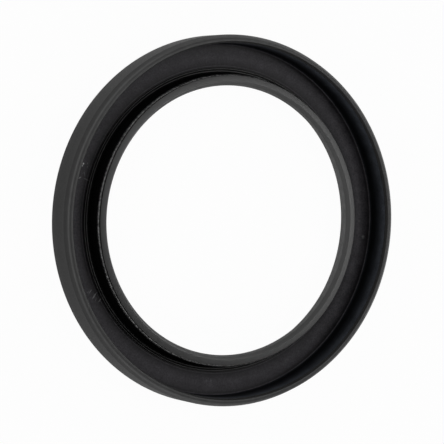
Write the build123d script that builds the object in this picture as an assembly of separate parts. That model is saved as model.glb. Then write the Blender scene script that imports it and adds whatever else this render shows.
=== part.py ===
"""Radial shaft seal, 90 x 120 x 12 mm, rubber covered, with a garter spring.

A shaft seal stops oil from leaving a housing along a turning shaft. It is three pieces:

    steel_case     a pressed ring with an L section, which gives the seal its stiffness
    rubber_body    one moulding: it covers the case outside, behind and over its rim, and carries
                   on inward as the heel, the thin neck, the lip head and the dust lip
    garter_spring  a coil spring joined end to end, which lies in the groove of the lip head
                   and keeps the sealing edge closed on the shaft

All three are rings round +Z. The seal lies on its air-side face at Z = 0, with the oil side up, and
the origin is the centre of that face. Each piece is drawn as a section, where X is the radius and Y is
the height above the air-side face, and is then turned once round +Z.
"""

import os
from math import radians, tan

from build123d import *

# ------------------------------------------------------------------ overall sizes, mm

OUTER_DIAMETER = 120.0       # fits the housing bore
WIDTH = 12.0                 # air-side face to rim
SHAFT_DIAMETER = 90.0        # the shaft that turns in the seal

# ------------------------------------------------------------------ steel case

STEEL_THICKNESS = 1.2
BEND_RADIUS_INSIDE = 0.8     # between web and wall, on the oil side
WEB_EDGE_CLEARANCE = 3.4     # shaft surface to the inner edge of the web

# ------------------------------------------------------------------ rubber over the case

COVER_OUTSIDE = 1.5          # rubber between the case and the housing
COVER_BEHIND = 0.6           # rubber between the case and the air-side face
COVER_RIM = 1.1              # rubber over the end of the case wall

LEAD_IN_HEIGHT = 1.8         # slim cone that leads the seal into its housing
LEAD_IN_DEPTH = 0.6
RIM_BEVEL_HEIGHT = 0.48      # blunt bevel between the lead-in and the rim
RIM_BEVEL_DEPTH = 0.77
RIM_ROLL_DEPTH = 0.23        # the rim rolls down and inward to a small ledge at the case wall
RIM_ROLL_HEIGHT = 0.7
RIM_LEDGE_WIDTH = 0.3
RIM_LEDGE_FALL = 0.15
BACK_CHAMFER_HEIGHT = 1.07   # chamfer between the outside and the air-side face
BACK_CHAMFER_DEPTH = 0.6

# ------------------------------------------------------------------ heel, where rubber grips the web

HEEL_OVERLAP = 1.05          # how far the heel reaches out over the web, from the web's edge
HEEL_RISE = 0.30             # height of the heel above the web
HEEL_SLOPE = 0.28            # from the heel's outer edge up to its first crest
HEEL_GROOVE_WIDTH = 0.82     # shallow V groove between the two crests
HEEL_GROOVE_DEPTH = 0.18
GAP_SLOPE = 0.47             # from the second crest down into the narrow gap beside the neck
GAP_DEPTH = 0.45             # bottom of that gap below the crests
HEEL_BORE_CLEARANCE = 2.2    # shaft surface to the bore of the heel at the air side
HEEL_BORE_TAPER = 0.3        # the bore narrows by this much up to the dust lip

# ------------------------------------------------------------------ lip head

LIP_INTERFERENCE = 2.7       # shaft diameter less the free diameter of the sealing edge
LIP_HEIGHT = 6.6             # sealing edge above the air-side face
AIR_SIDE_ANGLE = 25.0        # degrees from the axis, on the air side of the sealing edge
AIR_SIDE_LENGTH = 2.5        # height of that cone
TRIMMED_ANGLE = 47.0         # degrees from the axis, cut face on the oil side of the sealing edge
TRIMMED_HEIGHT = 0.65        # height of that face
NOSE_BORE_ANGLE = 26.0       # degrees from the axis, moulded bore above the trimmed face
NOSE_THICKNESS = 1.2         # rubber above the groove
NOSE_OVERHANG = 1.03         # nose past the centre line of the groove

# ------------------------------------------------------------------ garter spring and its groove

SPRING_COIL_DIAMETER = 2.0   # outside diameter of the coil
SPRING_OFFSET = 0.3          # centre of the coil below the sealing edge, towards the air side
GROOVE_CLEARANCE = 0.05      # groove radius less coil radius
GROOVE_FLANK_WIDTH = 0.65    # flat under the coil, outward from its centre line
LIP_WALL = 1.2               # sealing edge to the floor of the groove

# ------------------------------------------------------------------ dust lip and grease pocket

DUST_LIP_CLEARANCE = 0.5     # the dust lip runs just clear of the shaft
DUST_LIP_HEIGHT = 2.0        # its tip above the air-side face
DUST_LIP_TIP_HEIGHT = 0.25   # the blunt tip
DUST_LIP_TIP_SLANT = 0.06
DUST_LIP_ROOT_HEIGHT = 1.3   # where the dust lip leaves the bore of the heel
POCKET_DEPTH = 0.65          # grease pocket between the two lips, outward from the dust lip
POCKET_RISE = 0.95           # deepest point of the pocket above the tip of the dust lip

# ------------------------------------------------------------------ radii and heights that follow

outer_radius = OUTER_DIAMETER / 2
shaft_radius = SHAFT_DIAMETER / 2

case_outer_radius = outer_radius - COVER_OUTSIDE
case_inner_radius = case_outer_radius - STEEL_THICKNESS
case_top = WIDTH - COVER_RIM
web_edge_radius = shaft_radius + WEB_EDGE_CLEARANCE
web_bottom = COVER_BEHIND
web_top = web_bottom + STEEL_THICKNESS

lip_radius = shaft_radius - LIP_INTERFERENCE / 2
groove_radius = SPRING_COIL_DIAMETER / 2 + GROOVE_CLEARANCE
groove_ring_radius = lip_radius + LIP_WALL + groove_radius
groove_height = LIP_HEIGHT - SPRING_OFFSET
groove_bottom = groove_height - groove_radius
groove_top = groove_height + groove_radius


def outline(corners):
    """Closed face from (radius, height, rounding radius) corners, in order round the outline."""
    points = [(radius, height) for radius, height, _ in corners]
    roundings = [rounding for _, _, rounding in corners]
    return make_face(FilletPolyline(*points, radius=roundings, close=True))


def steel_case():
    """Section of the pressed ring: a flat web at the bottom, a bend, and a wall up to the rim."""
    return outline([
        (web_edge_radius, web_bottom, 0),
        (case_outer_radius, web_bottom, BEND_RADIUS_INSIDE + STEEL_THICKNESS),
        (case_outer_radius, case_top, 0),
        (case_inner_radius, case_top, 0),
        (case_inner_radius, web_top, BEND_RADIUS_INSIDE),
        (web_edge_radius, web_top, 0),
    ])


def cover_corners():
    """Over the case: from the back face up the outside, over the rim and down the case's bare inside."""
    lead_in_top = WIDTH - RIM_BEVEL_HEIGHT
    rim_outer = outer_radius - LEAD_IN_DEPTH - RIM_BEVEL_DEPTH
    ledge_outer = case_inner_radius + RIM_LEDGE_WIDTH
    ledge_height = WIDTH - RIM_ROLL_HEIGHT
    return [
        (outer_radius - BACK_CHAMFER_DEPTH, 0, 0),
        (outer_radius, BACK_CHAMFER_HEIGHT, 0),
        (outer_radius, lead_in_top - LEAD_IN_HEIGHT, 0),
        (outer_radius - LEAD_IN_DEPTH, lead_in_top, 0),
        (rim_outer, WIDTH, 0),
        (ledge_outer + RIM_ROLL_DEPTH, WIDTH, 0),
        (ledge_outer, ledge_height, 0),
        (case_inner_radius, ledge_height - RIM_LEDGE_FALL, 0),
        (case_inner_radius, web_top, BEND_RADIUS_INSIDE),
    ]


def heel_corners():
    """On top of the web's edge: two low crests with a groove between them, then the narrow gap."""
    outer = web_edge_radius + HEEL_OVERLAP
    top = web_top + HEEL_RISE
    outer_crest = outer - HEEL_SLOPE
    inner_crest = outer_crest - HEEL_GROOVE_WIDTH
    groove_middle = (outer_crest + inner_crest) / 2
    return [
        (outer, web_top, 0),
        (outer_crest, top, 0),
        (groove_middle, top - HEEL_GROOVE_DEPTH, 0),
        (inner_crest, top, 0),
        (inner_crest - GAP_SLOPE, top - GAP_DEPTH, 0),
    ]


def head_corners():
    """The lip head: groove flanks, nose, bore of the nose, trimmed face, sealing edge, air side."""
    nose_outer = groove_ring_radius + NOSE_OVERHANG
    nose_top = groove_top + NOSE_THICKNESS
    trimmed_top = LIP_HEIGHT + TRIMMED_HEIGHT
    trimmed_radius = lip_radius + TRIMMED_HEIGHT * tan(radians(TRIMMED_ANGLE))
    nose_inner = trimmed_radius + (nose_top - trimmed_top) * tan(radians(NOSE_BORE_ANGLE))
    air_side_radius = lip_radius + AIR_SIDE_LENGTH * tan(radians(AIR_SIDE_ANGLE))
    return [
        (groove_ring_radius + GROOVE_FLANK_WIDTH, groove_bottom, 0),
        (groove_ring_radius, groove_bottom, 0),
        (groove_ring_radius, groove_top, 0),
        (nose_outer, groove_top, 0),
        (nose_outer, nose_top, 0),
        (nose_inner, nose_top, 0),
        (trimmed_radius, trimmed_top, 0),
        (lip_radius, LIP_HEIGHT, 0),
        (air_side_radius, LIP_HEIGHT - AIR_SIDE_LENGTH, 0),
    ]


def dust_lip_corners():
    """The grease pocket, the dust lip and the bore of the heel down to the air-side face."""
    tip_radius = shaft_radius + DUST_LIP_CLEARANCE
    heel_bore = shaft_radius + HEEL_BORE_CLEARANCE
    return [
        (tip_radius + POCKET_DEPTH, DUST_LIP_HEIGHT + POCKET_RISE, 0),
        (tip_radius, DUST_LIP_HEIGHT + DUST_LIP_TIP_HEIGHT, 0),
        (tip_radius + DUST_LIP_TIP_SLANT, DUST_LIP_HEIGHT, 0),
        (heel_bore - HEEL_BORE_TAPER, DUST_LIP_ROOT_HEIGHT, 0),
        (heel_bore, 0, 0),
    ]


def rubber_body():
    """Section of the moulding: its outline filled solid, less the case and the spring's groove."""
    moulding = outline(
        cover_corners()
        + heel_corners()
        + head_corners()
        + dust_lip_corners()
    )
    groove = Pos(groove_ring_radius, groove_height) * Circle(groove_radius)
    return moulding - steel_case() - groove


def garter_spring():
    """Section of the ring that the coil fills, seated on the floor of its groove."""
    seated_radius = groove_ring_radius - GROOVE_CLEARANCE
    return Pos(seated_radius, groove_height) * Circle(SPRING_COIL_DIAMETER / 2)


SECTIONS = {
    "steel_case": steel_case,
    "rubber_body": rubber_body,
    "garter_spring": garter_spring,
}

os.makedirs("parts", exist_ok=True)
for node, draw_section in SECTIONS.items():
    ring = revolve(Plane.XZ * draw_section(), Axis.Z)
    export_step(ring, f"parts/{node}.step")
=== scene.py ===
# %% [markdown]
# # A radial shaft seal
# This lesson builds the looks of a rubber-covered shaft seal, 90 x 120 x 12 mm. Everything added here
# keeps to that frame, so each new piece lands where the solid model says without any fitting.

import bpy
import numpy as np
from mathutils import Matrix, Vector


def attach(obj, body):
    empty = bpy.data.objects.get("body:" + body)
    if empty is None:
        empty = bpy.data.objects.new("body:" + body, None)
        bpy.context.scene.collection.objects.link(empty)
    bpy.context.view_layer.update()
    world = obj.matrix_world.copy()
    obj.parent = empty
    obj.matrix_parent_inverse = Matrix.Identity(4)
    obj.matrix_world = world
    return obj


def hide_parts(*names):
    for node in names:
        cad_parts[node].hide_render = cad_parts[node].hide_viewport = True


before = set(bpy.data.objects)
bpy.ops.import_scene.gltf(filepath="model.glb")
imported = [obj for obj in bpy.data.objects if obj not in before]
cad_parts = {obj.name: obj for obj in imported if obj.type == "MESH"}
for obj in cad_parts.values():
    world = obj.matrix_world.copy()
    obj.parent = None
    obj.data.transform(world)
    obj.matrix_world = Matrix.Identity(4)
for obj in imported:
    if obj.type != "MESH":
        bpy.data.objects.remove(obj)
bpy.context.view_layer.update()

MM = 0.001

# %% [markdown]
# ## The camera
# A camera is a place, a line of sight and an up direction. Its matrix has three columns for its own
# right, up and back directions, so two cross products make them out of the line of sight and a hint of
# where up is. The lens is long, as lenses for small products are: the rings then keep nearly the same
# shape from the near side to the far side.

# %% Camera
CAMERA_PLACE = Vector((-0.3732, 0.0266, 0.6874))
CAMERA_BACK = Vector((-0.478191, 0.034908, 0.877562))
CAMERA_UP = Vector((0.0, 0.999210, -0.039747))
# both in mm, as on the barrel of a lens
FOCAL_LENGTH = 194.6
SENSOR_WIDTH = 36.0


def aim(thing, place, back, up):
    """Turns a thing so that its own Z looks along `back`: right = up x back, then up = back x right."""
    right = up.cross(back).normalized()
    up = back.cross(right).normalized()
    turn = Matrix((right, up, back.normalized())).transposed()
    thing.matrix_world = Matrix.Translation(place) @ turn.to_4x4()


lens = bpy.data.cameras.new("studio_camera")
lens.lens = FOCAL_LENGTH
lens.sensor_width = SENSOR_WIDTH
camera = bpy.data.objects.new("studio_camera", lens)
bpy.context.scene.collection.objects.link(camera)
bpy.context.scene.camera = camera
aim(camera, CAMERA_PLACE, CAMERA_BACK, CAMERA_UP)
print("camera is", round(CAMERA_PLACE.length, 3), "m from the seal")

# %% [markdown]
# ## Sections with rounded corners
# Each piece of a seal is a section turned round the seal's axis, so the work lies in the section. It
# comes from a short list of corners. Nothing moulded or pressed has a truly sharp corner, and it is the
# small roundings that catch the light as fine bright lines, so each corner has a radius. A Bevel
# modifier could round the finished ring, but here each corner keeps a radius of its own.

# %% Rounded sections
def rounded(corners, steps):
    """Section points from (radius, height, rounding) corners, in mm, with `steps` to a quarter turn.

    At a corner with half angle b between its two sides, an arc of radius q touches each side at the
    distance q / tan b from the corner, and its centre lies at q / sin b along the line between them.
    A point of the arc at share s of its turn is (start sin((1 - s) turn) + end sin(s turn)) / sin turn,
    where start and end run from the arc's centre to its two ends.
    """
    corners = np.asarray(corners, float)
    here, rounding = corners[:, :2], corners[:, 2]
    before = np.roll(here, 1, axis=0) - here
    after = np.roll(here, -1, axis=0) - here
    before /= np.linalg.norm(before, axis=1, keepdims=True)
    after /= np.linalg.norm(after, axis=1, keepdims=True)
    half = np.arccos(np.clip((before * after).sum(1), -1, 1)) / 2
    middle = before + after
    middle /= np.linalg.norm(middle, axis=1, keepdims=True)
    centre = here + middle * (rounding / np.sin(half))[:, None]
    reach = (rounding / np.tan(half))[:, None]
    points = []
    for i, radius in enumerate(rounding):
        if radius == 0:
            points.append(here[i:i + 1])
            continue
        start = here[i] + before[i] * reach[i] - centre[i]
        end = here[i] + after[i] * reach[i] - centre[i]
        turn = np.pi - 2 * half[i]
        count = max(2, int(np.ceil(steps * turn / (np.pi / 2))) + 1)
        share = np.linspace(0, 1, count)[:, None]
        arc = (start * np.sin((1 - share) * turn) + end * np.sin(share * turn)) / np.sin(turn)
        points.append(centre[i] + arc)
    return np.concatenate(points)


# %% [markdown]
# ## One recipe for every ring
# A point of a ring depends on two numbers only, its place t along the section and its angle a:
#
#     x = r(t) cos a,   y = r(t) sin a,   z = h(t)
#
# Spin or Screw could do this with modifiers. Worked out on a grid it is one line of numpy, the faces
# follow from the grid's row and column numbers, and the grid closes on itself both ways, so the mesh
# has no seam and no pole.

# %% A closed grid as a mesh
def closed_grid(name, points, sheet_uv):
    """Mesh object from points[rows, columns, 3] in metres. Both directions close on themselves.

    Corner (i, j) joins (i, j+1), (i+1, j+1) and (i+1, j), so faces look outwards when the rows run
    anticlockwise in the section and the columns run anticlockwise round the axis. `sheet_uv` gives a
    (u, v) for every grid corner, with one more row and column than there are points, so that the last
    face reaches 1 instead of running back to 0.
    """
    rows, columns = points.shape[:2]
    i, j = np.meshgrid(np.arange(rows), np.arange(columns), indexing="ij")
    i_next, j_next = (i + 1) % rows, (j + 1) % columns
    around_face = [(i, j), (i, j_next), (i_next, j_next), (i_next, j)]
    faces = np.stack([row * columns + column for row, column in around_face], -1)
    faces = faces.reshape(-1, 4).astype(np.int32)
    mesh = bpy.data.meshes.new(name)
    mesh.vertices.add(rows * columns)
    mesh.vertices.foreach_set("co", points.reshape(-1).astype(np.float32))
    mesh.loops.add(faces.size)
    mesh.loops.foreach_set("vertex_index", faces.reshape(-1))
    mesh.polygons.add(len(faces))
    mesh.polygons.foreach_set("loop_start", np.arange(0, faces.size, 4, dtype=np.int32))
    mesh.update(calc_edges=True)
    mesh.polygons.foreach_set("use_smooth", np.ones(len(faces), bool))
    around_uv = [(i, j), (i, j + 1), (i + 1, j + 1), (i + 1, j)]
    corner_uv = np.stack([sheet_uv[row, column] for row, column in around_uv], 2)
    mesh.uv_layers.new(name="sheet").data.foreach_set("uv", corner_uv.reshape(-1).astype(np.float32))
    mesh.validate()
    piece = bpy.data.objects.new(name, mesh)
    bpy.context.scene.collection.objects.link(piece)
    print(name, "has", 2 * len(faces), "triangles")
    return piece


# %% Rings
AROUND = 512


def ring(name, section):
    """A section of (radius, height) points in mm carried round +Z: x = r cos a, y = r sin a, z = h.

    Its UV layer runs from 0 to 1 round the axis in u, and along the section's true length in v.
    """
    angle = np.linspace(0, 2 * np.pi, AROUND, endpoint=False)
    radius, height = section[:, 0:1], section[:, 1:2]
    points = np.stack([radius * np.cos(angle), radius * np.sin(angle), height + 0 * angle], -1) * MM
    loop = np.vstack([section, section[:1]])
    along = np.concatenate([[0], np.cumsum(np.linalg.norm(np.diff(loop, axis=0), axis=1))])
    u, v = np.meshgrid(np.linspace(0, 1, AROUND + 1), along / along[-1])
    return closed_grid(name, points, np.stack([u, v], -1))


# %% [markdown]
# ## The steel case
# A press cuts a ring out of 1.2 mm sheet and draws its outer edge up into a wall, so the case has an L
# section with a soft bend. The bend's outside is as large as the sheet's thickness and the inside bend
# together, which keeps the sheet equally thick all the way round. The cut edges keep a small burr
# radius. The outside is buried in rubber. The oil side stays bare, under a thin dark bonding coat.

# %% Steel case
STEEL = 1.2
WEB_EDGE, WALL_INSIDE, WALL_OUTSIDE = 48.4, 57.3, 58.5
WEB_BOTTOM, WEB_TOP, WALL_TOP = 0.6, 1.8, 10.9
BEND = 0.8
CUT_EDGE = 0.12

steel_section = rounded([
    (WEB_EDGE, WEB_BOTTOM, CUT_EDGE),
    (WALL_OUTSIDE, WEB_BOTTOM, BEND + STEEL),
    (WALL_OUTSIDE, WALL_TOP, CUT_EDGE),
    (WALL_INSIDE, WALL_TOP, CUT_EDGE),
    (WALL_INSIDE, WEB_TOP, BEND),
    (WEB_EDGE, WEB_TOP, CUT_EDGE),
], steps=10)
steel_ring = ring("steel_ring", steel_section)

# %% [markdown]
# ## The rubber body
# One shot of rubber wraps the case outside, behind and over the rim, then carries on inward as the
# heel, a thin neck and the lip head. Its section is the most skilled line of the seal, so it is written
# corner by corner, anticlockwise from the air-side face: outside and lead-in, rim, the edge against the
# steel, the steel's own outline from the back, the heel with its two small crests, the neck, the
# spring's groove, the nose, the trimmed sealing edge, the air side of the lip, the dust lip and the
# bore of the heel. The top of the nose is not flat: it climbs a little towards the shaft.

# %% Corners of the cover and the heel
# roundings in mm: the usual one for a small moulded edge, and a finer one at the steel
SOFT = 0.12
FINE = 0.06

outside_corners = [
    (59.4, 0.0, 0.15), (60.0, 1.07, 0.25), (60.0, 9.72, 0.6), (59.4, 11.52, 0.22),
    (58.63, 12.0, 0.28), (57.83, 12.0, 0.2), (57.6, 11.3, 0.14), (57.3, 11.15, FINE),
]
steel_bed = [
    (WALL_INSIDE, WALL_TOP, 0), (WALL_OUTSIDE, WALL_TOP, 0), (WALL_OUTSIDE, WEB_BOTTOM, BEND + STEEL),
    (WEB_EDGE, WEB_BOTTOM, 0), (WEB_EDGE, WEB_TOP, 0),
]
heel_corners = [
    (49.45, 1.8, 0.03), (49.17, 2.1, SOFT), (48.76, 1.92, SOFT), (48.35, 2.1, SOFT), (47.88, 1.65, SOFT),
]
print("cover and heel have", len(outside_corners + heel_corners), "corners that show")

# %% Corners of the lip head
GROOVE_CENTRE = (46.57, 7.3)
GROOVE_RADIUS = 0.88

neck_corners = [(46.55, 5.25, SOFT)]
nose_corners = [
    (46.82, 8.14, 0.05), (46.82, 8.72, 0.12), (44.98, 8.96, 0.1),
    (44.35, 7.25, 0.03), (43.65, 6.6, 0.03), (44.82, 4.1, 0.15),
]
dust_lip_corners = [
    (46.15, 2.95, 0.3), (45.5, 2.25, 0.05), (45.56, 2.0, 0.05), (46.9, 1.3, 0.2), (47.2, 0.0, 0.1),
]


def groove_corners(count=28):
    """The spring's groove: the half circle centre + radius (cos a, sin a), for a from 270 back to 90.

    It runs clockwise from the lower flank round the floor of the groove to its top.
    """
    angle = np.linspace(np.radians(270), np.radians(90), count)
    across = GROOVE_CENTRE[0] + GROOVE_RADIUS * np.cos(angle)
    up = GROOVE_CENTRE[1] + GROOVE_RADIUS * np.sin(angle)
    return [(a, b, 0) for a, b in zip(across, up)]


# %% Rubber body
rubber_section = rounded(
    outside_corners
    + steel_bed
    + heel_corners
    + neck_corners
    + groove_corners()
    + nose_corners
    + dust_lip_corners,
    steps=6,
)
rubber_ring = ring("rubber_ring", rubber_section)

# %% [markdown]
# ## The garter spring
# A coil of thin drawn wire is wound close and joined end to end into a ring, which lies in the groove
# of the lip head and keeps the sealing edge closed on the shaft. Its centre line is a helix on a torus:
# while the ring angle A goes once round, the coil angle B goes round once for each turn,
#
#     r = R + c cos B,   z = h + c sin B
#
# and the wire is a small six-sided tube carried along that line. A whole number of turns makes it close
# exactly. Six sides are enough for wire of 0.4 mm, which is a pixel or two wide in any ordinary view.
# An Array modifier of one turn would need a curve to bend it; the formula needs no modifier at all.

# %% Garter spring
SPRING_RING, SPRING_HEIGHT = GROOVE_CENTRE
COIL_RADIUS, WIRE_RADIUS = 0.66, 0.2
TURNS = 706
STEPS_PER_TURN = 14
WIRE_SIDES = 6


def coil(name):
    """The wire: centre line C(t), direction T = C'(t), and round it C + w (cos f N - sin f T x N).

    N points from the middle of the coil to the centre line of the wire, and w is the wire's radius.
    """
    t = np.arange(TURNS * STEPS_PER_TURN) / (TURNS * STEPS_PER_TURN)
    ring_angle, coil_angle = 2 * np.pi * t, 2 * np.pi * TURNS * t
    zero = 0 * t
    outward = np.stack([np.cos(ring_angle), np.sin(ring_angle), zero], -1)
    upward = np.stack([zero, zero, zero + 1], -1)
    sideways = np.stack([-np.sin(ring_angle), np.cos(ring_angle), zero], -1)
    cos_b, sin_b = np.cos(coil_angle)[:, None], np.sin(coil_angle)[:, None]
    from_core = cos_b * outward + sin_b * upward
    reach = SPRING_RING + COIL_RADIUS * cos_b
    line = outward * reach + upward * (SPRING_HEIGHT + COIL_RADIUS * sin_b)
    direction = sideways * reach + TURNS * COIL_RADIUS * (cos_b * upward - sin_b * outward)
    direction /= np.linalg.norm(direction, axis=1, keepdims=True)
    across = np.cross(direction, from_core)
    side = np.linspace(0, 2 * np.pi, WIRE_SIDES, endpoint=False)[:, None, None]
    points = (line + WIRE_RADIUS * (np.cos(side) * from_core - np.sin(side) * across)) * MM
    u, v = np.meshgrid(np.linspace(0, 1, len(t) + 1), np.linspace(0, 1, WIRE_SIDES + 1))
    return closed_grid(name, points, np.stack([u, v], -1))


spring_coil = coil("spring_coil")
print("coil is", round(2 * (COIL_RADIUS + WIRE_RADIUS), 2), "mm thick, with", TURNS, "turns")

# %% [markdown]
# ## Places in the frame
# A seal has no moving parts, so all three pieces ride on the frame's one body, `root`. Each piece takes
# the place of the plain solid of its node, which is hidden, and the table lists beside it the slot that
# its finish belongs to.

# %% Places in the frame
for piece, node, slot in (
    (steel_ring, "steel_case", "coated_steel"),
    (rubber_ring, "rubber_body", "rubber"),
    (spring_coil, "garter_spring", "spring_steel"),
):
    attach(piece, "root")
    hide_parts(node)
    print(piece.name, "stands in for", node)

# %% [markdown]
# ## Finishes
# Every finish is a small graph of nodes. A few helpers keep the graphs readable: `finish` starts a
# material with one Principled shader, `set_inputs` fills a node's inputs with values or with sockets,
# `add` puts in a node, and the others add the few nodes that come back in every finish.

# %% Helpers for finishes
def finish(name):
    """A new material with one Principled shader. Returns the material, its node tree and the shader."""
    material = bpy.data.materials.new(name)
    material.use_nodes = True
    tree = material.node_tree
    return material, tree, tree.nodes["Principled BSDF"]


def set_inputs(tree, node, inputs):
    """Fills inputs by name or number: a socket is linked, and anything else is set as a value."""
    for key, value in inputs.items():
        if isinstance(value, bpy.types.NodeSocket):
            tree.links.new(value, node.inputs[key])
        else:
            node.inputs[key].default_value = value


def add(tree, kind, inputs=None, **settings):
    """Adds a node. `settings` are its own properties, `inputs` are values or sockets to connect."""
    node = tree.nodes.new(kind)
    for key, value in settings.items():
        setattr(node, key, value)
    set_inputs(tree, node, inputs or {})
    return node


# %% Helpers for numbers and colours
def number(tree, operation, *values):
    """One Math node: its operation by name, and its values or sockets in order."""
    return add(tree, "ShaderNodeMath", dict(enumerate(values)), operation=operation).outputs[0]


def colour_by(tree, operation, *values):
    """One Vector Math node, which does the same to red, green and blue."""
    return add(tree, "ShaderNodeVectorMath", dict(enumerate(values)), operation=operation).outputs[0]


def length(tree, vector):
    """Distance of a place from the middle of its coordinates."""
    return add(tree, "ShaderNodeVectorMath", {0: vector}, operation="LENGTH").outputs["Value"]


def remap(tree, value, start, end, low, high, **settings):
    """A value from start to end turned into one from low to high, and held there outside."""
    ends = {0: value, 1: start, 2: end, 3: low, 4: high}
    return add(tree, "ShaderNodeMapRange", ends, **settings).outputs[0]


# %% Helpers for grain
USUAL_NOISE = (0.3, 0.7)


def own_place(tree):
    """Each point's place on the piece itself, in metres."""
    return add(tree, "ShaderNodeTexCoord").outputs["Object"]


def noise(tree, place, scale, detail, roughness=0.6):
    """Cloudy noise from 0 to 1 with about `scale` lumps to the metre, finer with more detail."""
    cloud = {"Vector": place, "Scale": scale, "Detail": detail, "Roughness": roughness}
    return add(tree, "ShaderNodeTexNoise", cloud).outputs["Fac"]


def swing(tree, grain, low, high):
    """Noise spread from low to high. Nearly all of it lies within USUAL_NOISE to begin with."""
    return remap(tree, grain, *USUAL_NOISE, low, high)


# %% [markdown]
# ## Finishes that follow the section
# The finish of a ring changes along its section and hardly at all round its axis: the mould leaves the
# cover smooth and black, a knife leaves the sealing edge paler, and the coat on the steel is paler on
# the web and near the rim but black in the bend, which is painted light and shade. So each ring's UV
# layer runs along its section, and a colour ramp on that layer is a list of places on the section, each
# with its own tone. A painted image could hold such tones, but a list of places is easier to read and to
# change.
#
# A ramp is kept as a table of 256 colours. Spread over the whole section it would blur a fine line, so
# a Map Range node spreads it over the stretch between its first and last stop only. It is then fine
# enough for lines a tenth of a millimetre wide, such as the painted highlights on the crests of the heel.

# %% Places and tones along a section
def share_at(section, radius, height):
    """How far along the closed section, from 0 to 1, the point nearest to (radius, height) lies.

    On a side from P along step S, the nearest point to Q is at the share (Q - P) . S / |S|^2 of the
    side, held between 0 and 1. The side that comes closest counts. A side without length is given a
    very small one, so that nothing is divided by zero.
    """
    step = np.roll(section, -1, axis=0) - section
    side = np.maximum(np.linalg.norm(step, axis=1), 1e-9)
    point = np.array([radius, height])
    share = np.clip(((point - section) * step).sum(1) / side**2, 0, 1)
    distance = np.linalg.norm(section + share[:, None] * step - point, axis=1)
    nearest = distance.argmin()
    return (side[:nearest].sum() + share[nearest] * side[nearest]) / side.sum()


def along_section(tree, section, stops):
    """A colour ramp over the section. `stops` are (radius, height, colour), blended in between."""
    places = [(share_at(section, radius, height), colour) for radius, height, colour in stops]
    places.sort(key=lambda place: place[0])
    first, last = places[0][0], places[-1][0]
    sheet = add(tree, "ShaderNodeUVMap", uv_map="sheet").outputs[0]
    along = add(tree, "ShaderNodeSeparateXYZ", {0: sheet}).outputs["Y"]
    stretch = remap(tree, along, first, last, 0.0, 1.0)
    ramp = add(tree, "ShaderNodeValToRGB", {0: stretch})
    elements = ramp.color_ramp.elements
    elements.remove(elements[0])
    elements[0].position = 0.0
    elements[0].color = (*places[0][1], 1)
    for share, colour in places[1:]:
        elements.new((share - first) / (last - first)).color = (*colour, 1)
    return ramp.outputs[0]


def tinted(tint, stops):
    """Stops of (radius, height, level) turned into stops of (radius, height, level times tint)."""
    return [(radius, height, level * tint) for radius, height, level in stops]


GREY = np.array([1.0, 1.0, 1.0])

# %% [markdown]
# ## Rubber
# Moulded rubber copies the mould: a very fine grain from the spark-eroded steel, and a cloudy tone
# where carbon black and wax have come to the surface. All four rubber finishes share that recipe and
# differ in their tones, their softness and their gloss. The gloss is the same all over a finish, so it
# is set on the shader's own socket.

# %% Recipe for rubber
CLOUD_SCALE, GRAIN_SCALE = 400.0, 2200.0
TONE_SWING, SOFTNESS_SWING = (0.85, 1.15), (0.86, 1.14)
GRAIN_STRENGTH = 0.25
GRAIN_DEPTH = 0.02 * MM


def rubber_finish(name, gloss, tones, softness):
    """Moulded rubber. `tones` and `softness` are levels along the section, `gloss` is one number."""
    material, tree, shader = finish(name)
    place = own_place(tree)
    cloudy = noise(tree, place, CLOUD_SCALE, detail=4.0)
    grainy = noise(tree, place, GRAIN_SCALE, detail=2.0)
    tone = along_section(tree, rubber_section, tinted(GREY, tones))
    soft = along_section(tree, rubber_section, tinted(GREY, softness))
    grain = {"Strength": GRAIN_STRENGTH, "Distance": GRAIN_DEPTH, "Height": grainy}
    set_inputs(tree, shader, {
        "Base Color": colour_by(tree, "MULTIPLY", tone, swing(tree, cloudy, *TONE_SWING)),
        "Roughness": number(tree, "MULTIPLY", soft, swing(tree, grainy, *SOFTNESS_SWING)),
        "Normal": add(tree, "ShaderNodeBump", grain).outputs[0],
        "Specular IOR Level": gloss,
    })
    rubber_ring.data.materials.append(material)
    print(name, "has", len(tones), "tones and", len(softness), "degrees of softness")


# %% [markdown]
# ## Cover and neck
# The cover is smooth and black. Its lead-in, its bevel and the inner edge of its rim are paler: painted
# highlights where these rounded edges catch the lamps, while the inner side of the rim darkens into
# painted shade. The heel and the neck are nearly black and matt, except for the two crests of the heel,
# which carry pale hairlines, painted highlights on their rounded tops.

# %% Cover and neck
rubber_finish(
    "moulded_cover",
    gloss=0.32,
    # the peaks at the lead-in, the bevel and the rim's inner edge are painted highlights, and the rim's
    # inner side falls into painted shade
    tones=[
        (59.4, 0.0, 0.006), (60.0, 5.0, 0.002), (59.7, 10.6, 0.017), (59.5, 11.4, 0.026),
        (59.2, 11.65, 0.058), (58.8, 11.9, 0.026), (58.2, 12.0, 0.026), (57.95, 12.0, 0.050),
        (57.75, 11.8, 0.008), (57.6, 11.5, 0.004), (57.3, 11.15, 0.003),
    ],
    softness=[
        (59.4, 0.0, 0.42), (60.0, 5.0, 0.42), (58.2, 12.0, 0.45), (57.75, 11.8, 0.65), (57.4, 11.2, 0.75),
    ],
)
rubber_finish(
    "matt_neck",
    gloss=0.06,
    # the two peaks of 0.130 are painted highlights on the crests of the heel
    tones=[
        (49.45, 1.8, 0.010), (49.26, 2.0, 0.012), (49.12, 2.08, 0.130), (48.98, 2.0, 0.014),
        (48.76, 1.95, 0.005), (48.55, 2.0, 0.014), (48.38, 2.08, 0.130), (48.24, 2.0, 0.014),
        (48.0, 1.78, 0.006), (47.5, 2.2, 0.001), (46.55, 5.25, 0.001), (46.85, 8.3, 0.001),
    ],
    softness=[(49.45, 1.8, 0.45), (48.5, 2.0, 0.5), (48.0, 1.7, 0.7), (46.85, 8.3, 0.7)],
)

# %% [markdown]
# ## Lip head
# The mould for the lip head is polished, so the nose is glossier than the cover and shows its lamps as
# soft bands. The sealing edge is not moulded: a knife trims it after moulding, which leaves a narrow
# face that is paler and much more matt than the rubber round it, and so has a finish of its own.

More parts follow.
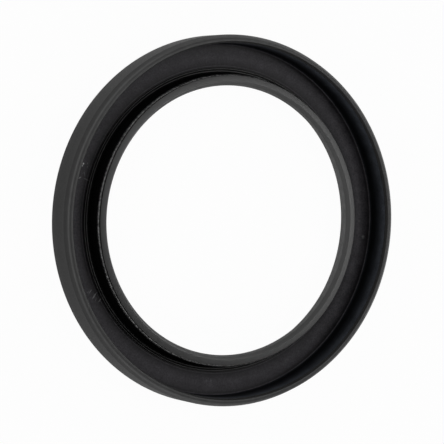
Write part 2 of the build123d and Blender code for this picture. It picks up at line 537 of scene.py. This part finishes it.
# %% Lip head and trimmed face
rubber_finish(
    "moulded_lip",
    gloss=0.9,
    tones=[
        (46.6, 8.75, 0.006), (45.9, 8.84, 0.008), (45.2, 8.92, 0.005), (44.95, 8.8, 0.002),
        (44.4, 7.4, 0.002), (43.7, 6.5, 0.006), (43.9, 6.2, 0.004), (44.82, 4.1, 0.003),
    ],
    softness=[
        (46.6, 8.75, 0.46), (45.2, 8.92, 0.45), (44.6, 7.8, 0.47), (43.7, 6.5, 0.6),
        (44.82, 4.1, 0.5), (45.5, 2.2, 0.5), (47.2, 0.0, 0.45),
    ],
)
rubber_finish(
    "knife_cut",
    gloss=0.1,
    tones=[(44.35, 7.25, 0.07), (44.25, 7.15, 0.10), (43.75, 6.7, 0.11), (43.65, 6.6, 0.08)],
    softness=[(44.35, 7.25, 0.7), (43.65, 6.6, 0.8)],
)

# %% [markdown]
# ## Which finish covers which faces
# A ring's faces come in rows, one row for each side of its section and one face for each step round
# the axis. So it is enough to choose a finish for each side: cover, neck from the heel's outer edge on,
# lip from the nose's outer edge on, and the trimmed face inside the lip.

# %% Which finish covers which faces
COVER, NECK, LIP, CUT = range(4)
NOSE_EDGE = (46.80, 8.69)
CUT_TOP, CUT_END = (44.36, 7.27), (43.64, 6.59)

neck_start = share_at(rubber_section, *heel_corners[0][:2])
lip_start = share_at(rubber_section, *NOSE_EDGE)
cut_start, cut_end = share_at(rubber_section, *CUT_TOP), share_at(rubber_section, *CUT_END)
row_length = np.linalg.norm(np.roll(rubber_section, -1, axis=0) - rubber_section, axis=1)
row_place = (np.cumsum(row_length) - row_length / 2) / row_length.sum()
row_finish = np.full(len(row_place), COVER)
row_finish[row_place > neck_start] = NECK
row_finish[row_place > lip_start] = LIP
row_finish[(row_place > cut_start) & (row_place < cut_end)] = CUT
face_finish = np.repeat(row_finish, AROUND).astype(np.int32)
rubber_ring.data.polygons.foreach_set("material_index", face_finish)
print("faces with each finish:", np.bincount(face_finish))

# %% [markdown]
# ## Scuffs on the web
# The web has been touched: a pale nick, a few rubbed strokes and a soft spot. Each one is an ellipse
# in the plane of the web. A Mapping node lays the ellipse's own axes over it, in which its rim is at
# length 1, and the mark fades out towards that rim.

# %% Strokes
ANY_HEIGHT = 1000.0
FADE_START = 0.3


def stroke(tree, place, start, end, width, strength):
    """Strength of one rubbed stroke from start to end, points in mm, at every place of the surface.

    In the stroke's own axes a place is (x / half length, y / half width), and the mark is full up to
    the length FADE_START and gone at 1. Heights are divided by ANY_HEIGHT, so they do not count.
    """
    start, end = Vector(start) * MM, Vector(end) * MM
    middle, along = (start + end) / 2, end - start
    reach = along.length / 2 + width * MM / 2
    own_axes = add(tree, "ShaderNodeMapping", {
        "Vector": place,
        "Location": (middle.x, middle.y, 0),
        "Rotation": (0, 0, float(np.arctan2(along.y, along.x))),
        "Scale": (reach, width * MM / 2, ANY_HEIGHT),
    }, vector_type="TEXTURE")
    return remap(tree, length(tree, own_axes.outputs[0]), FADE_START, 1.0, strength, 0.0)


# %% Where the scuffs are
# each one is (start, end, width, strength), with the first three in mm
SCUFFS = [
    ((-49.72, 17.84), (-49.76, 17.66), 0.55, 0.95), ((-49.98, 17.27), (-50.10, 16.9), 0.45, 0.40),
    ((-48.38, 18.08), (-48.36, 17.6), 0.22, 0.10), ((-48.36, 16.9), (-48.35, 16.6), 0.22, 0.10),
    ((-51.35, 13.03), (-50.52, 13.55), 0.45, 0.22), ((-49.54, 13.18), (-47.61, 12.28), 0.45, 0.07),
    ((-49.52, 15.7), (-49.13, 13.5), 0.55, 0.05), ((-47.15, -23.38), (-46.05, -22.04), 0.40, 0.13),
    ((-45.85, -25.08), (-44.52, -23.20), 0.55, 0.18), ((-43.69, -26.10), (-42.84, -25.03), 0.45, 0.12),
    ((-44.89, -25.92), (-44.22, -24.51), 0.35, 0.05), ((-47.9, -23.6), (-46.9, -22.3), 0.30, 0.06),
    ((54.54, -5.60), (54.54, -5.78), 1.45, 0.07), ((53.02, -0.30), (53.02, -0.46), 1.3, 0.02),
    ((-2.59, -51.56), (-2.55, -53.52), 0.7, 0.03), ((-4.3, -51.5), (-4.3, -53.4), 0.6, 0.02),
]
print("the web has", len(SCUFFS), "scuffs")

# %% [markdown]
# ## The coat on the steel
# The bare inside of the case carries the bonding agent that holds the rubber: a thin, dull, nearly
# black film. Its tones carry painted light and shade as well: palest in the middle of the web, darker
# towards the heel and black in the bend and on the lower wall as painted shade, and paler again up the
# wall near the rim as painted light. Two fine light lines run round it, a thread of rubber flash beside
# the heel and a painted highlight along the edge of the bend. The web has a trace of violet and the wall
# a trace of blue.

# %% Tones of the coat
WEB_TINT = np.array([1.0, 0.94, 1.06])
WALL_TINT = np.array([0.88, 0.97, 1.15])
# the web's tones hold painted shade, darker towards the heel and into the bend, and the last stop paints a
# highlight along the bend
web_tones_and_shade = tinted(WEB_TINT, [
    (49.55, WEB_TOP, 0.010), (49.85, WEB_TOP, 0.012), (50.03, WEB_TOP, 0.058), (50.25, WEB_TOP, 0.018),
    (51.0, WEB_TOP, 0.032), (52.8, WEB_TOP, 0.050), (54.0, WEB_TOP, 0.046), (55.6, WEB_TOP, 0.036),
    (56.5, WEB_TOP, 0.014), (56.7, 1.87, 0.020), (56.9, 1.98, 0.055),
])
# the wall's tones are painted light and shade: black low in the channel, paler towards the rim
wall_light_and_shade = tinted(WALL_TINT, [
    (57.05, 2.1, 0.012), (WALL_INSIDE, 2.8, 0.003), (WALL_INSIDE, 4.8, 0.003),
    (WALL_INSIDE, 7.2, 0.012), (WALL_INSIDE, 9.6, 0.040), (WALL_INSIDE, 10.6, 0.044),
])
print("the coat has", len(web_tones_and_shade + wall_light_and_shade), "tones along the section")

# %% Coated steel
PATCH_SCALE, SPECK_SCALE = 260.0, 1800.0
PATCH_SWING, SPECK_SWING = (0.72, 1.28), (0.7, 1.3)
COAT_ROUGHNESS = (0.38, 0.46)
COAT_GLOSS = 0.1

coated, tree, shader = finish("bonding_coat")
place = own_place(tree)
cloudy = noise(tree, place, PATCH_SCALE, detail=5.0)
speckle = noise(tree, place, SPECK_SCALE, detail=3.0)
specks = swing(tree, speckle, *SPECK_SWING)
uneven = number(tree, "MULTIPLY", swing(tree, cloudy, *PATCH_SWING), specks)
coat = colour_by(tree, "MULTIPLY", along_section(tree, steel_section, web_tones_and_shade + wall_light_and_shade), uneven)

# where strokes cross, the stronger one shows, and the specks of the coat break all of them up
marks = [stroke(tree, place, *scuff) for scuff in SCUFFS]
scuffed = marks[0]
for mark in marks[1:]:
    scuffed = number(tree, "MAXIMUM", scuffed, mark)
broken_up = number(tree, "MULTIPLY", scuffed, specks)
set_inputs(tree, shader, {
    "Base Color": colour_by(tree, "ADD", coat, broken_up),
    "Roughness": swing(tree, cloudy, *COAT_ROUGHNESS),
    "Specular IOR Level": COAT_GLOSS,
})
steel_ring.data.materials.append(coated)
print(coated.name, "has", len(tree.nodes), "nodes")

# %% [markdown]
# ## The wire of the spring
# Drawn spring wire is bare metal with a tone that wanders from turn to turn, because the die and the
# hardening bath leave it uneven. The top of the coil lies tucked against the underside of the nose, in
# its shade, and that shade is painted into the wire: the tone falls to nearly black over a short height
# there.

# %% Spring wire
WIRE_SCALE = 1500.0
BARE_NOISE, BARE_TONE = (0.38, 0.62), (0.07, 0.27)
WIRE_ROUGHNESS = (0.34, 0.42)
# painted shade: the wire's top, under the nose, is painted darker between these heights
SHADE_STARTS, SHADE_COVERS = 7.92 * MM, 8.08 * MM
SHADED_SHARE = 0.12

wire, tree, shader = finish("drawn_wire")
place = own_place(tree)
cloudy = noise(tree, place, WIRE_SCALE, detail=1.0, roughness=0.5)
bare = remap(tree, cloudy, *BARE_NOISE, *BARE_TONE)
height = add(tree, "ShaderNodeSeparateXYZ", {0: place}).outputs["Z"]
# painted shade: the tone falls with height near the top of the coil
painted_shade = remap(tree, height, SHADE_STARTS, SHADE_COVERS, 1.0, SHADED_SHARE)
tone = number(tree, "MULTIPLY", bare, painted_shade)
set_inputs(tree, shader, {
    "Base Color": add(tree, "ShaderNodeCombineColor", {0: tone, 1: tone, 2: tone}).outputs[0],
    "Roughness": swing(tree, cloudy, *WIRE_ROUGHNESS),
    "Metallic": 1.0,
})
spring_coil.data.materials.append(wire)
print(wire.name, "has", len(tree.nodes), "nodes")

# %% [markdown]
# ## The studio
# The seal lies on a floor of paper that curves up into a low wall all round, so every view has the same
# clean background. The paper's own colour is a light grey, which takes the seal's shadow. Camera and
# mirror rays see a share of it as plain white light instead, and the farther from the seal, the larger
# that share: the background stays white, and the shadow is still there under the seal. A bare white
# world would do for the background, but nothing could cast a shadow on it.

# %% Shape of the floor
# radii of the rings of points in the flat part, in metres
FLAT_RINGS = [0.004, 0.3, 0.9]


def paper(name, radius=1.6, curve=0.5, height=0.9, around=96, bend_rows=13):
    """A disc whose rim bends up: r and h follow a line, a quarter circle and a line, carried round +Z."""
    bend = np.linspace(0, np.pi / 2, bend_rows)
    r = np.concatenate([FLAT_RINGS, radius + curve * np.sin(bend), [radius + curve]])
    h = np.concatenate([0 * np.array(FLAT_RINGS), curve * (1 - np.cos(bend)), [height]])
    angle = np.linspace(0, 2 * np.pi, around, endpoint=False)
    points = np.stack([r[:, None] * np.cos(angle), r[:, None] * np.sin(angle), h[:, None] + 0 * angle], -1)
    i, j = np.meshgrid(np.arange(len(r) - 1), np.arange(around), indexing="ij")
    j_next = (j + 1) % around
    around_face = [(i, j), (i + 1, j), (i + 1, j_next), (i, j_next)]
    faces = np.stack([row * around + column for row, column in around_face], -1)
    centre = [tuple(range(around))]
    mesh = bpy.data.meshes.new(name)
    mesh.from_pydata(points.reshape(-1, 3).tolist(), [], faces.reshape(-1, 4).tolist() + centre)
    mesh.polygons.foreach_set("use_smooth", np.ones(len(mesh.polygons), bool))
    floor = bpy.data.objects.new(name, mesh)
    bpy.context.scene.collection.objects.link(floor)
    print(name, "is", 2 * (radius + curve), "m across")
    return floor


floor = paper("studio_paper")

# %% Paper
PAPER_TONE, PAPER_ROUGHNESS = 0.6, 0.6
# the share of white light grows between these distances from the seal's middle, in metres
SHADOW_ENDS = (0.08, 0.5)
WHITE_SEEN_NEAR, WHITE_MIRRORED_NEAR = 0.97, 0.25

white, tree, shader = finish("white_paper")
set_inputs(tree, shader, {"Base Color": (*(PAPER_TONE * GREY), 1), "Roughness": PAPER_ROUGHNESS})
glow = add(tree, "ShaderNodeEmission", {"Strength": 1.0}).outputs[0]
ray = add(tree, "ShaderNodeLightPath").outputs
mirrored = number(tree, "MAXIMUM", ray["Is Glossy Ray"], ray["Is Transmission Ray"])
distance = length(tree, own_place(tree))
smooth = {"interpolation_type": "SMOOTHSTEP"}
seen_share = remap(tree, distance, *SHADOW_ENDS, WHITE_SEEN_NEAR, 1.0, **smooth)
mirror_share = remap(tree, distance, *SHADOW_ENDS, WHITE_MIRRORED_NEAR, 1.0, **smooth)
seen = number(tree, "MULTIPLY", ray["Is Camera Ray"], seen_share)
share = number(tree, "MULTIPLY_ADD", mirrored, mirror_share, seen)
blend = add(tree, "ShaderNodeMixShader", {0: share, 1: shader.outputs[0], 2: glow})
set_inputs(tree, tree.nodes["Material Output"], {"Surface": blend.outputs[0]})
floor.data.materials.append(white)
print(white.name, "has", len(tree.nodes), "nodes")

# %% [markdown]
# ## Light
# Black rubber shows little of its own colour, and what the eye reads is where the lamps are mirrored in
# it. So the light is a ring of soft panels, each with a place and a size as the seal sees them: low ones
# for the wall and the outside, middle ones for the web and the nose, and one high one for the flat
# faces. The room adds an even glimmer, so that nothing falls to pure black. Point lamps would give hard
# specks where a panel gives a band.

# %% Room
ROOM_LEVEL = 0.05

world = bpy.data.worlds.new("room")
bpy.context.scene.world = world
world.use_nodes = True
background = world.node_tree.nodes["Background"]
set_inputs(world.node_tree, background, {"Color": (*(ROOM_LEVEL * GREY), 1), "Strength": 1.0})
bpy.context.scene.view_settings.view_transform = "Standard"
print("room is lit at", ROOM_LEVEL)

# %% Lamps
LAMP_DISTANCE = 0.5


def panel(name, azimuth, elevation, width, height, brightness):
    """A soft light seen from the seal at (azimuth, elevation), `width` by `height`, all in degrees.

    Its sides are distance times angle, and its power is pi times its area times its brightness, so a
    mirror in place of the seal would show it at that brightness.
    """
    turn, rise = np.radians(azimuth), np.radians(elevation)
    outward = Vector((np.cos(rise) * np.cos(turn), np.cos(rise) * np.sin(turn), np.sin(rise)))
    light = bpy.data.lights.new(name, "AREA")
    light.shape = "RECTANGLE"
    light.size = LAMP_DISTANCE * np.cos(rise) * np.radians(width)
    light.size_y = LAMP_DISTANCE * np.radians(height)
    light.energy = np.pi * light.size * light.size_y * brightness
    lamp = bpy.data.objects.new(name, light)
    bpy.context.scene.collection.objects.link(lamp)
    aim(lamp, outward * LAMP_DISTANCE, outward, Vector((0, 0, 1)))
    lamp.visible_camera = False


# each one is (azimuth, elevation, width, height, brightness)
PANELS = [
    (-135, 14, 30, 12, 3.0), (-15, 14, 30, 12, 4.5), (15, 14, 30, 12, 3.0), (45, 14, 30, 12, 3.0),
    (-157.5, 30, 45, 20, 2.2), (157.5, 30, 45, 20, 2.8), (112.5, 30, 45, 20, 1.8),
    (-90, 30, 45, 20, 2.4), (-5, 43, 36, 12, 2.6),
    (22.5, 52.5, 45, 25, 0.6), (112.5, 52.5, 45, 25, 1.2), (5, 66, 40, 16, 6.5),
]
for index, settings in enumerate(PANELS):
    panel("panel_%d" % index, *settings)
print(len(PANELS), "soft panels stand", LAMP_DISTANCE, "m from the seal")
